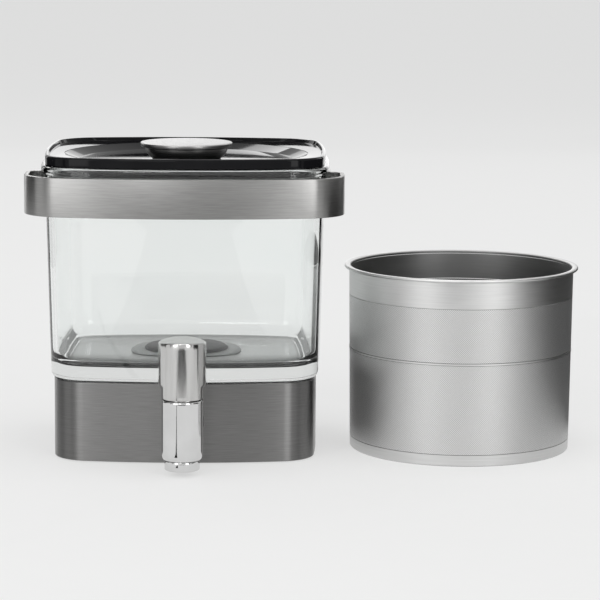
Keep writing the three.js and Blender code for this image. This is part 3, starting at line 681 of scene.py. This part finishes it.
def drawLid():
    out, edge, underside, flange = -lid["inset"], lid["edge"], lid["underside"], lid["bottom"]
    inset, wall, low = lid["plug"]
    bevel = lid["bevel"]
    seatInset, seatLow, seatHigh = lid["seat"]
    plug = [(-inset - wall, underside), (-inset - wall, low), (-inset - bevel, low), (-inset, low + bevel)]
    plug += [(-inset, seatLow), (-seatInset, seatLow), (-seatInset, seatHigh), (-inset, seatHigh)]
    plug += [(-inset, flange), (out - bevel, flange), (out, flange + bevel)]
    plug += edgePairs(out - edge, lid["top"] - edge, edge, 0, 90, lid["edgeSteps"])
    inner = jarOutline(out - edge)
    dish, dishHigh = lid["dish"]
    floor, floorHigh = lid["floor"]
    toe, toeRise = lid["toe"]
    rings = [ringAt(circleAlike(inner, lid["hole"]), underside, makerMiddle)]
    rings += [ringAt(jarOutline(offset), z, makerMiddle) for offset, z in plug]
    far = circleAlike(inner, dish)
    for share, drop in lid["shelf"]:
        points = [(x + (u - x) * share, y + (v - y) * share) for (x, y), (u, v) in zip(inner, far)]
        rings.append(ringAt(points, lid["top"] - drop, makerMiddle))
    bowl = [(dish - back, dishHigh - drop) for back, drop in lid["groove"]]
    bowl += [(floor + toe, floorHigh + toeRise), (floor, floorHigh)]
    bowl += [(radius, floorHigh) for radius in (*lid["floorRings"], lid["hole"])]
    rings += [ringAt(circleAlike(inner, radius), z, makerMiddle) for radius, z in bowl]
    return drawRings("lidShell", rings, looped=True)


gasketLow, gasketHigh = boxOf("lid_gasket")[2:]
gasket = {"inset": 6.6, "proud": 4.5, "low": gasketLow, "high": gasketHigh, "round": 0.6}


def drawGasket():
    inside, outside, curve = -gasket["inset"], -gasket["proud"], gasket["round"]
    low, high = gasket["low"], gasket["high"]
    profile = [(inside, high), (inside, low)]
    profile += edgePairs(outside - curve, low + curve, curve, -90, 0, 3)
    profile += edgePairs(outside - curve, high - curve, curve, 0, 90, 3)
    rings = [ringAt(jarOutline(offset), z, makerMiddle) for offset, z in profile]
    return drawRings("lidGasket", rings, looped=True)


finishPiece(drawLid(), "lid", looks["glossBlack"], ["lid_shell"], lid["crisp"])
finishPiece(drawGasket(), "lid", looks["blackRubber"], ["lid_gasket"])
print("lid drawn")

# Knob: a steel disc on a bowl shaped stem
knobSize, knobLow, knobTop = boxOf("knob_cap")[1:]
stemSize, stemLow, stemTop = boxOf("knob_stem")[1:]
knob = {
    "radius": knobSize[0] / 2,
    "low": knobLow,
    "high": knobTop,
    "dome": 0.4,
    "domeRings": (0.9, 0.75, 0.6, 0.45, 0.3, 0.15),  # shares of the radius
    "edge": 0.5,
    "count": 128,
    "stem": (20.5, stemSize[0] / 2, stemLow, stemTop),  # lower radius, upper radius, bottom, top
    "stemSteps": 9,
    "bore": 2.3,
    "dip": 0.3,  # how far the stem's top sinks to its bore
}


def drawKnob():
    radius, low, high, edge, dome = knob["radius"], knob["low"], knob["high"], knob["edge"], knob["dome"]
    profile = edgePairs(radius - edge, low + edge, edge, -90, 0, 3)
    profile += edgePairs(radius - edge, high - dome - edge, edge, 0, 90, 4)
    profile += [(share * radius, high - dome * share * share) for share in knob["domeRings"]]
    cap = drawRings("knobDisc", roundRings(profile, makerMiddle, knob["count"]))
    small, wide, bottom, top = knob["stem"]
    start = -math.acos(small / wide)
    rise = (top - bottom) / math.sin(start)
    steps = knob["stemSteps"]
    bowl = [start * (1 - k / steps) for k in range(steps + 1)]
    side = [(wide * math.cos(angle), top - rise * math.sin(angle)) for angle in bowl]
    inner = [(knob["bore"], top - knob["dip"]), (knob["bore"], bottom)]
    stem = drawRings("knobStem", roundRings([(small, bottom)] + side + inner, makerMiddle), looped=True)
    return cap, stem


knobDisc, knobStem = drawKnob()
finishPiece(knobDisc, "lid", looks["turnedSteel"], ["knob_cap"])
finishPiece(knobStem, "lid", looks["turnedSteel"], ["knob_stem"])
print("knob drawn")

# Drain in the jar's floor: a clear sealing ring under a black flange
ringSize, ringLow, ringHigh = boxOf("drain_clear_ring")[1:]
fittingSize, fittingLow, fittingHigh = boxOf("drain_fitting")[1:]
drain = {
    "shank": 8,
    "fit": 0.3,
    "ring": (ringSize[0] / 2, ringLow, ringHigh),  # radius, bottom, top
    "ringEdge": [(1, 0.1), (1.3, 0)],  # inset and drop of its bevelled upper edge
    "ringLip": 0.2,
    "flange": (fittingSize[0] / 2, fittingHigh - 1.7, fittingHigh),
    "flangeEdge": [(1.1, 0.3), (1.7, 0)],
    "flangeLip": 0.3,
    "mouth": (0.8, 0.2, 0.6),  # inset and drop of the bore's wide mouth, and how far it stops from the bore
    "bore": (3.4, fittingLow),  # radius, bottom
}


def drawDrainRing():
    radius, low, high = drain["ring"]
    bore = drain["shank"] + drain["fit"]
    profile = [(bore, low), (radius, low), (radius, low + drain["ringLip"])]
    profile += [(radius - inset, high - drop) for inset, drop in drain["ringEdge"]]
    profile.append((bore, high))
    return drawRings("drainRing", roundRings(profile, makerMiddle), looped=True)


def drawDrainFitting():
    radius, low, high = drain["flange"]
    bore, bottom = drain["bore"]
    shank, lip = drain["shank"], drain["flangeLip"]
    mouthInset, mouthDrop, mouthStop = drain["mouth"]
    profile = [(bore, bottom), (shank, bottom), (shank, low), (radius, low), (radius, low + lip)]
    profile += [(radius - inset, high - drop) for inset, drop in drain["flangeEdge"]]
    profile += [(shank, high), (shank - mouthInset, high - mouthDrop)]
    profile += [(bore + mouthStop, low + lip), (bore, low)]
    return drawRings("drainFitting", roundRings(profile, makerMiddle), looped=True)


finishPiece(drawDrainRing(), "maker", looks["silicone"], ["drain_clear_ring"], crisp)
finishPiece(drawDrainFitting(), "maker", looks["satinBlack"], ["drain_fitting"], crisp)
print("drain drawn")

# Tap: a round spout on a level shank, a nozzle below it and a tipping handle above it
tapSize, tapLow, tapTop = boxOf("tap_body")[1:]
nozzleSize, nozzleLow, nozzleTop = boxOf("tap_nozzle")[1:]
front = -base["size"][1] / 2
tap = {
    "axis": baseBottom + 25,
    "front": front,  # front face of the base, from the jar's middle
    "reach": tapMiddle[1] - makerMiddle[1],  # middle of the spout, from the jar's middle
    "radius": tapSize[0] / 2,
    "bottom": tapLow,
    "top": tapTop,
    "shoulder": 5,
    "shoulderSteps": 8,
    "foot": 2,  # how far inside the lip the body's lowest ring lies
    "lip": (nozzleSize[0] / 2, nozzleLow, tapLow - 0.3),  # radius, bottom, top
    "lipEdges": (0.4, 0.8),  # upper and lower rounding
    "neck": (8.5, nozzleTop),
    "seat": 5.6,
    "chamber": (9, baseBottom + 18),
    "edge": 0.8,
    "bore": 3.2,
    "barb": 5,
    "tail": front + 17.6,
    "tube": front + 10.6,
    "shank": 7.5,
    "flare": [(0, 12), (0.4, 15)],  # how the shank widens: offset and distance from the spout's middle
    "collar": 11,
    "collarBevel": (0.5, 0.6),  # inwards, along
    "collarLong": 2,
    "washer": 1.2,
    "fit": 0.3,
    "over": 4,  # how far a cut runs past what it cuts
    "roundCount": 64,
    "boreCount": 32,
}


# Rings about the level axis of the tap, from radius and distance along it
def levelRings(profile, count=tap["roundCount"]):
    rings = []
    for radius, along in profile:
        middle = Vector((makerMiddle[0], makerMiddle[1] + along, tap["axis"]))
        rings.append([(middle + Vector((x, 0, z))) * mm for x, z in circle(radius, count)])
    return rings


def drawShank():
    shank, wide, tube = tap["shank"], tap["collar"], tap["tube"] - tap["fit"]
    inwards, along = tap["collarBevel"]
    back = tap["front"] - tap["washer"]
    level = [(shank, tap["reach"])]
    level += [(shank + offset, tap["reach"] + away) for offset, away in tap["flare"]]
    level += [(wide - inwards, back - tap["collarLong"]), (wide, back - tap["collarLong"] + along)]
    level += [(wide, back - along), (wide - inwards, back), (shank, back)]
    level += [(shank, tube), (tap["barb"], tube), (tap["barb"], tap["tail"])]
    return drawRings("shank", levelRings(level))


def drawTapBody():
    radius, low, high = tap["radius"], tap["bottom"], tap["top"]
    shoulder, edge, steps = tap["shoulder"], tap["edge"], tap["shoulderSteps"]
    lip = tap["lip"][0]
    profile = [(lip - tap["foot"], low)]
    for k in range(steps + 1):
        angle = -quarter + quarter * k / steps
        z = low + shoulder + shoulder * math.sin(angle)
        profile.append((lip + (radius - lip) * math.cos(angle), z))
    profile += [(radius, low + shoulder + edge), (radius, high - 2 * edge)]
    profile += edgePairs(radius - edge, high - edge, edge, 0, 90, 4)
    body = drawRings("tapBody", roundRings(profile, tapMiddle))
    combine(body, drawShank(), "UNION")
    chamber, chamberLow = tap["chamber"]
    neck, neckHigh = tap["neck"]
    over, fit = tap["over"], tap["fit"]
    holes = [(chamber, chamberLow, high + over), (tap["seat"], low - over, chamberLow + fit)]
    holes.append((neck + fit, low - over, neckHigh + fit))
    for wide, holeLow, holeHigh in holes:
        hole = roundRings([(wide, holeLow), (wide, holeHigh)], tapMiddle, tap["roundCount"])
        combine(body, drawRings("hole", hole), "DIFFERENCE")
    bore = [(tap["bore"], tap["reach"]), (tap["bore"], tap["tail"] + over)]
    return combine(body, drawRings("bore", levelRings(bore, tap["boreCount"])), "DIFFERENCE")


def drawNozzle():
    radius, low, high = tap["lip"]
    neck, neckHigh = tap["neck"]
    upper, lower = tap["lipEdges"]
    profile = [(tap["seat"], low), (tap["seat"], neckHigh), (neck, neckHigh), (neck, high)]
    profile += edgePairs(radius - upper, high - upper, upper, 90, 0, 3)
    profile += edgePairs(radius - lower, low + lower, lower, 0, -90, 4)
    return drawRings("tapNozzle", roundRings(profile, tapMiddle), looped=True)


finishPiece(drawTapBody(), "maker", looks["polishedSteel"], ["tap_body"], crisp)
finishPiece(drawNozzle(), "maker", looks["polishedSteel"], ["tap_nozzle"], crisp)

handleSize, handleTop = boxOf("tap_handle")[1], boxOf("tap_handle")[3]
handle = {
    "radius": 12,
    "bottom": tapTop + 0.6,
    "top": handleTop,
    "edge": 0.7,
    "arch": 1.4,  # the top's middle over its sides
    "crownRings": (2.5, 5, 7.5, 10),  # insets
    "hood": (handleSize[0] / 2, 3.2, 47, 53),  # radius, set back, bottom, full from
    "hoodStart": 1.6,  # how far the hood's foot stands over the front's radius
    "hoodSteps": 6,
    "levels": (60, 68, 74),  # rings of the straight side
    "bore": (10.5, 60),
    "shelf": (tapTop + 6.8, tapTop + 8.6),
    "slot": (1.9, 2.8),  # half width, how far behind the rod it ends
    "pinY": -7.4,
    "pull": 12,
    "under": tapTop + 0.3,
    "cut": (20, 10),  # half width and depth of the block that slopes the lower edge
    "over": 4,
}


# The handle's outline at a height: a circle in front with a wider one set back
def handleOutline(offset, hoodRadius, count=96):
    back = handle["hood"][1]
    points = []
    for k in range(count):
        angle = 4 * quarter * k / count
        radius = handle["radius"] + offset
        side = (hoodRadius + offset) ** 2 - (back * math.cos(angle)) ** 2
        radius = max(radius, back * math.sin(angle) + math.sqrt(side)) if side > 0 else radius
        points.append((radius * math.cos(angle), radius * math.sin(angle)))
    return points


# The hollow of the handle, less the slotted shelf that stays in it
def drawHandleBore():
    bore, boreTop = handle["bore"]
    low, count, fit = handle["bottom"] - handle["over"], tap["roundCount"], tap["fit"]
    hollow = drawRings("bore", roundRings([(bore, low), (bore, boreTop)], tapMiddle, count))
    shelfLow, shelfHigh = handle["shelf"]
    ends = [(bore + fit, shelfLow), (bore + fit, shelfHigh)]
    shelf = drawRings("shelf", roundRings(ends, tapMiddle, count))
    half, slotBack = handle["slot"]
    slot = [(-half, -bore - 1), (half, -bore - 1), (half, slotBack), (-half, slotBack)]
    slotRings = [ringAt(slot, z, tapMiddle) for z in (shelfLow - 1, shelfHigh + 1)]
    combine(shelf, drawRings("slot", slotRings), "DIFFERENCE")
    return combine(hollow, shelf, "DIFFERENCE")


# The block below the sloped edge that lets the handle tip
def drawHandleUnder():
    pinY, slope = handle["pinY"], math.tan(math.radians(handle["pull"]))
    half, deep = handle["cut"]
    block = [(-half, pinY - half), (half, pinY - half), (half, pinY + half), (-half, pinY + half)]
    heights = [handle["under"] - (y - pinY) * slope for x, y in block]
    lowest = [z - deep for z in heights]
    return drawRings("under", [ringAt(block, z, tapMiddle) for z in (lowest, heights)])


def drawHandle():
    hoodRadius, back, hoodLow, hoodFull = handle["hood"]
    low, top, edge, arch = handle["bottom"], handle["top"], handle["edge"], handle["arch"]
    narrow = handle["radius"] - back
    start, steps = narrow + handle["hoodStart"], handle["hoodSteps"]
    shape = [(offset, narrow, z) for offset, z in edgePairs(-edge, low + edge, edge, -90, 0, 3)]
    for k in range(steps + 1):
        share = k / steps
        ease = share * share * (3 - 2 * share)
        shape.append((0, start + (hoodRadius - start) * ease, hoodLow + (hoodFull - hoodLow) * share))
    shape += [(0, hoodRadius, z) for z in handle["levels"]]
    rings = [ringAt(handleOutline(offset, hood), z, tapMiddle) for offset, hood, z in shape]
    crown = edgePairs(-edge, -edge, edge, 0, 90, 4) + [(-inset, 0) for inset in handle["crownRings"]]
    for offset, drop in crown:
        points = handleOutline(offset, hoodRadius)
        heights = [top + drop - arch * (x / hoodRadius) ** 2 for x, y in points]
        rings.append(ringAt(points, heights, tapMiddle))
    body = drawRings("tapHandle", rings)
    combine(body, drawHandleBore(), "DIFFERENCE")
    return combine(body, drawHandleUnder(), "DIFFERENCE")


finishPiece(drawHandle(), "tap_lever", looks["satinSteel"], ["tap_handle"], crisp)
print("tap drawn")

# Steeper: a round basket whose wall widens a little upwards, with painted shade on its inside
rimSize, rimLow, rimHigh = boxOf("steeper_rim")[1:]
steeper = {
    "count": 160,
    "height": rimHigh,
    "low": 66,
    "high": 67.2,
    "sheet": 0.9,
    "rim": rimSize[0] / 2,
    "rimLow": rimLow,
    "rimFoot": 0.2,
    "rimSteps": 8,
    "rimTop": (0.4, 0.1),  # outwards from the wall, down
    "rimInside": [(0.3, 0.35), (0, 0.7)],  # outwards from the wall's inner side, down
    "collarLow": boxOf("steeper_collar")[2],
    "seam": boxOf("steeper_seam")[2:],
    "seamProud": 0.25,
    "bandTop": boxOf("steeper_bottom_band")[3],
    "bandBevel": [(0.6, 0), (0.1, 0.5)],  # inset, height
    "lip": 3,
    "floor": (1.2, 2.0),  # bottom, top
    "floorRings": (50, 34, 18, 6),
    "gap": 0.3,
    # the inside colour is painted shade on the basket's inner side, not a different metal
    "inside": ((0.03, 0.03, 0.029, 1), 0.6),  # colour and share of it on the wall's inner side
}


def wallRadius(z):
    return steeper["low"] + (steeper["high"] - steeper["low"]) * z / steeper["height"]


# Painted shade: darkens what lies within the middle of the wall's sheet, so the basket's inner side looks
# shaded
def paintInsideShade(material):
    shader = material.node_tree.nodes["Principled BSDF"]
    plain = shader.inputs["Base Color"].links[0].from_socket
    x, y, z = addAxisPlace(material, steeperMiddle)
    away = addAway(material, x, y)
    widening = addMath(material, "MULTIPLY", z, (steeper["high"] - steeper["low"]) / steeper["height"])
    limit = addMath(material, "ADD", widening, (steeper["low"] - steeper["sheet"] / 2) * mm)
    dark, strength = steeper["inside"]
    share = addMath(material, "MULTIPLY", addMath(material, "LESS_THAN", away, limit), strength)
    blend = addNode(material, "ShaderNodeMix", {"data_type": "RGBA", 7: dark}, {0: share, 6: plain})
    linkTo(material, blend.outputs[2], shader, "Base Color")


def drawBasketRings(name, profile, looped=True):
    return drawRings(name, roundRings(profile, steeperMiddle, steeper["count"]), looped=looped)


def drawWall(name, low, high, proud):
    profile = [(wallRadius(z) + proud, z) for z in (low, high)]
    profile += [(wallRadius(z) - steeper["sheet"], z) for z in (high, low)]
    return drawBasketRings(name, profile)


def drawSteeperRim():
    low, high, rim = steeper["rimLow"], steeper["height"], steeper["rim"]
    wall, half = wallRadius(low), (high - low) / 2
    inner = wall - steeper["sheet"]
    profile = [(inner, low), (wall + steeper["rimFoot"], low)]
    profile += edgePairs(rim - half, (low + high) / 2, half, -90, 90, steeper["rimSteps"])
    outwards, down = steeper["rimTop"]
    profile.append((wall + outwards, high - down))
    profile += [(inner + out, high - drop) for out, drop in steeper["rimInside"]]
    return drawBasketRings("steeperRim", profile)


def drawBottomBand():
    high, sheet, lip = steeper["bandTop"], steeper["sheet"], steeper["lip"]
    inner = wallRadius(0) - sheet - lip
    profile = [(inner, 0)] + [(wallRadius(0) - inset, z) for inset, z in steeper["bandBevel"]]
    profile += [(wallRadius(high), high), (wallRadius(high) - sheet, high)]
    profile += [(wallRadius(sheet) - sheet, sheet), (inner, sheet)]
    return drawBasketRings("bottomBand", profile)


def drawSteeperFloor():
    low, high = steeper["floor"]
    radius = wallRadius(0) - steeper["sheet"] - steeper["gap"]
    profile = [(radius, low), (radius, high)] + [(inner, high) for inner in steeper["floorRings"]]
    return drawBasketRings("steeperFloor", profile, looped=False)


seamLow, seamHigh = steeper["seam"]
collarLow, gap = steeper["collarLow"], steeper["gap"]
steel, woven = looks["basketSteel"], looks["wovenWall"]
# basket steel and woven wall both get painted shade on their inner side
for material in (steel, woven):
    paintInsideShade(material)
finishPiece(drawSteeperRim(), "steeper", steel, ["steeper_rim"], crisp)
walls = [  # name, bottom, top, how far it stands out, slot, material, node
    ("steeperCollar", collarLow, steeper["rimLow"] - gap, 0, "plain_steel", steel, "steeper_collar"),
    ("meshUpper", seamHigh + gap, collarLow - gap, 0, "steel_mesh", woven, "steeper_mesh_upper"),
    ("steeperSeam", seamLow, seamHigh, steeper["seamProud"], "plain_steel", steel, "steeper_seam"),
    ("meshLower", steeper["bandTop"] + gap, seamLow - gap, 0, "steel_mesh", woven, "steeper_mesh_lower"),
]
for name, low, high, proud, slotName, material, node in walls:
    finishPiece(drawWall(name, low, high, proud), "steeper", material, [node])
finishPiece(drawBottomBand(), "steeper", steel, ["steeper_bottom_band"], crisp)
finishPiece(drawSteeperFloor(), "steeper", looks["wovenFloor"], ["steeper_floor"])
print("steeper drawn")

# Finishes of the parts that keep their own shape
carried = {
    "satinBlack": ["base_plate", "lid_liner", "drain_nut", "drain_elbow"],
    "blackRubber": ["valve_seal", "tap_washer_outer", "tap_washer_inner"],
    "silicone": ["drain_seal", "outlet_tube"],
    "plainSteel": [
        "knob_screw", "drain_washer", "tap_bonnet", "tap_pin", "valve_plunger", "valve_spring", "tap_nut",
        "hose_clamp_front", "hose_clamp_back",
    ],
}
for corner in ("front_left", "front_right", "back_right", "back_left"):
    carried["blackRubber"].append(f"foot_{corner}")
    carried["plainSteel"].append(f"plate_screw_{corner}")
for look, names in carried.items():
    for name in names:
        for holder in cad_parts[name].material_slots:
            holder.material = looks[look]
print("carried parts finished")

# Floor, background and light. Lamps and dark cards stand round the object, and some cards lie beside it.
studio = {
    "floor": 60,  # metres across
    "floorCuts": 3,
    "pale": (0.72, 0.72, 0.716),
    "paperGrain": 0.008,  # how much darker the paper's grain is
    "ambient": (0.5, 0.505, 0.51),
    "glow": 0.56,  # share of the floor that camera and reflections see as even paper
    "lamps": [  # degrees from the front, distance, width, height, middle's height, watts, kind
        (-36, 2.2, 0.9, 1.7, 0.86, 11, "plain"),
        (32, 2.2, 0.7, 1.7, 0.86, 11, "plain"),
        (-12, 2.5, 0.6, 1.1, 1.5, 8, "plain"),
        (-138, 2.4, 0.8, 1.6, 0.9, 6, "back"),
        (138, 2.4, 0.8, 1.6, 0.9, 6, "back"),
        (180, 2.0, 2.4, 0.7, 0.4, 4.8, "gleam"),
        (-163, 2.0, 0.9, 0.7, 1.45, 9, "gleam"),
    ],
    "top": {"height": 2.2, "size": (1.5, 1.0), "power": 12},
    "cards": [  # degrees from the front, distance, width, height, middle's height
        (-62, 1.6, 0.2, 1.8, 0.9),
        (48, 1.6, 0.18, 1.8, 0.9),
        (-110, 0.8, 0.6, 1.2, 0.6),
        (102, 0.42, 0.9, 0.26, 0.13),
        (-158, 2.2, 0.85, 0.9, 0.45),
        (158, 2.2, 0.85, 0.9, 0.45),
    ],
    "lowCards": [  # lie on the floor: beside what, degrees from the front, distance, width, length
        (tapMiddle, 0, 0.28, 0.3, 0.5),
        (tapMiddle, -28, 0.03, 0.008, 0.4),
        (steeperMiddle, 145, 0.08, 0.36, 0.42),
        (steeperMiddle, 100, 0.15, 0.24, 0.18),
    ],
    "lowLift": 0.002,
    "cardDark": (0.006, 0.006, 0.006),
    "cardGrain": 1.2,  # how much lighter the card's grain is
}


# A place round the object at an angle from the front
def placeAround(degrees, away, height):
    angle = math.radians(degrees)
    middle = Vector(((cadLow[0] + cadHigh[0]) / 2, (cadLow[1] + cadHigh[1]) / 2, height))
    return middle + Vector((math.sin(angle), -math.cos(angle), 0)) * away, angle


# 1 for a ray from the camera, a reflection or glass, 0 for light that falls on a surface
def addSeen(holder):
    path = addNode(holder, "ShaderNodeLightPath").outputs
    seen = addMath(holder, "MAXIMUM", path["Is Camera Ray"], path["Is Glossy Ray"])
    return addMath(holder, "MAXIMUM", seen, path["Is Transmission Ray"])


def makeFloorPaper():
    material, shader = startMaterial("floorPaper", {"Roughness": 0.8, "Specular IOR Level": 0.1})
    dark = tuple(value - studio["paperGrain"] for value in studio["pale"])
    grain = {"detail": 3, "dark": dark, "light": studio["pale"]}
    addGrain(material, shader, addPlace(material, (40, 40, 40)), grain)
    share = addMath(material, "MULTIPLY", addSeen(material), studio["glow"])
    paper = addNode(material, "ShaderNodeEmission", {"Color": (1, 1, 0.995, 1), "Strength": 1})
    sources = {0: share, 1: shader.outputs["BSDF"], 2: paper.outputs["Emission"]}
    mixed = addNode(material, "ShaderNodeMixShader", None, sources)
    linkTo(material, mixed.outputs["Shader"], material.node_tree.nodes["Material Output"], "Surface")
    return material


def addFloor():
    bpy.ops.object.select_all(action="DESELECT")
    bpy.ops.mesh.primitive_plane_add(size=studio["floor"], location=(0, 0, 0))
    floor = bpy.context.object
    floor.name = "studioFloor"
    bpy.ops.object.mode_set(mode="EDIT")
    bpy.ops.mesh.subdivide(number_cuts=studio["floorCuts"])
    bpy.ops.object.mode_set(mode="OBJECT")
    floor.data.materials.append(makeFloorPaper())


def makeCardBlack():
    material, shader = startMaterial("cardBlack", {"Roughness": 0.9, "Specular IOR Level": 0})
    light = tuple(value * studio["cardGrain"] for value in studio["cardDark"])
    grain = {"detail": 2, "dark": studio["cardDark"], "light": light}
    addGrain(material, shader, addPlace(material, (30, 30, 30)), grain)
    return material


# A dark card, which only reflections see
def addCard(name, place, rotation, size):
    bpy.ops.object.select_all(action="DESELECT")
    bpy.ops.mesh.primitive_plane_add(size=1, location=place, rotation=rotation)
    card = bpy.context.object
    card.name = name
    card.dimensions = (*size, 0)
    bpy.ops.object.transform_apply(location=True, rotation=True, scale=True)
    card.data.materials.append(cardBlack)
    card.visible_camera = False
    card.visible_diffuse = False
    card.visible_shadow = False
    card.visible_transmission = False


def addUprightCard(number, degrees, away, width, height, middle):
    place, angle = placeAround(degrees, away, middle)
    addCard(f"studioCard{number}", place, (quarter, 0, angle), (width, height))


def addLowCard(number, beside, degrees, away, width, length):
    angle = math.radians(degrees)
    reach = Vector((math.sin(angle), -math.cos(angle), 0)) * (away + length / 2)
    place = Vector((*beside, 0)) * mm + reach + Vector((0, 0, studio["lowLift"]))
    addCard(f"studioLowCard{number}", place, (0, 0, angle), (width, length))


def addLamp(name, place, rotation, size, power):
    bpy.ops.object.light_add(type="AREA", location=place, rotation=rotation)
    lamp = bpy.context.object
    lamp.name = name
    lamp.data.shape = "RECTANGLE"
    lamp.data.size, lamp.data.size_y = size
    lamp.data.energy = power
    lamp.visible_camera = False
    return lamp


def addUprightLamp(number, degrees, away, width, height, middle, power, kind):
    place, angle = placeAround(degrees, away, middle)
    lamp = addLamp(f"studioLamp{number}", place, (quarter, 0, angle), (width, height), power)
    lamp.visible_diffuse = kind != "gleam"
    lamp.visible_transmission = kind == "plain"


def setWorld():
    world = bpy.data.worlds.new("studioWorld")
    bpy.context.scene.world = world
    world.use_nodes = True
    background = world.node_tree.nodes["Background"]
    addBlend(world, background, addSeen(world), studio["ambient"], studio["pale"], "Color")


addFloor()
cardBlack = makeCardBlack()
for kind, add in (("cards", addUprightCard), ("lowCards", addLowCard), ("lamps", addUprightLamp)):
    for number, row in enumerate(studio[kind]):
        add(number, *row)
top = studio["top"]
addLamp("studioTop", placeAround(0, 0, top["height"])[0], (0, 0, 0), top["size"], top["power"])
setWorld()
print("studio set")
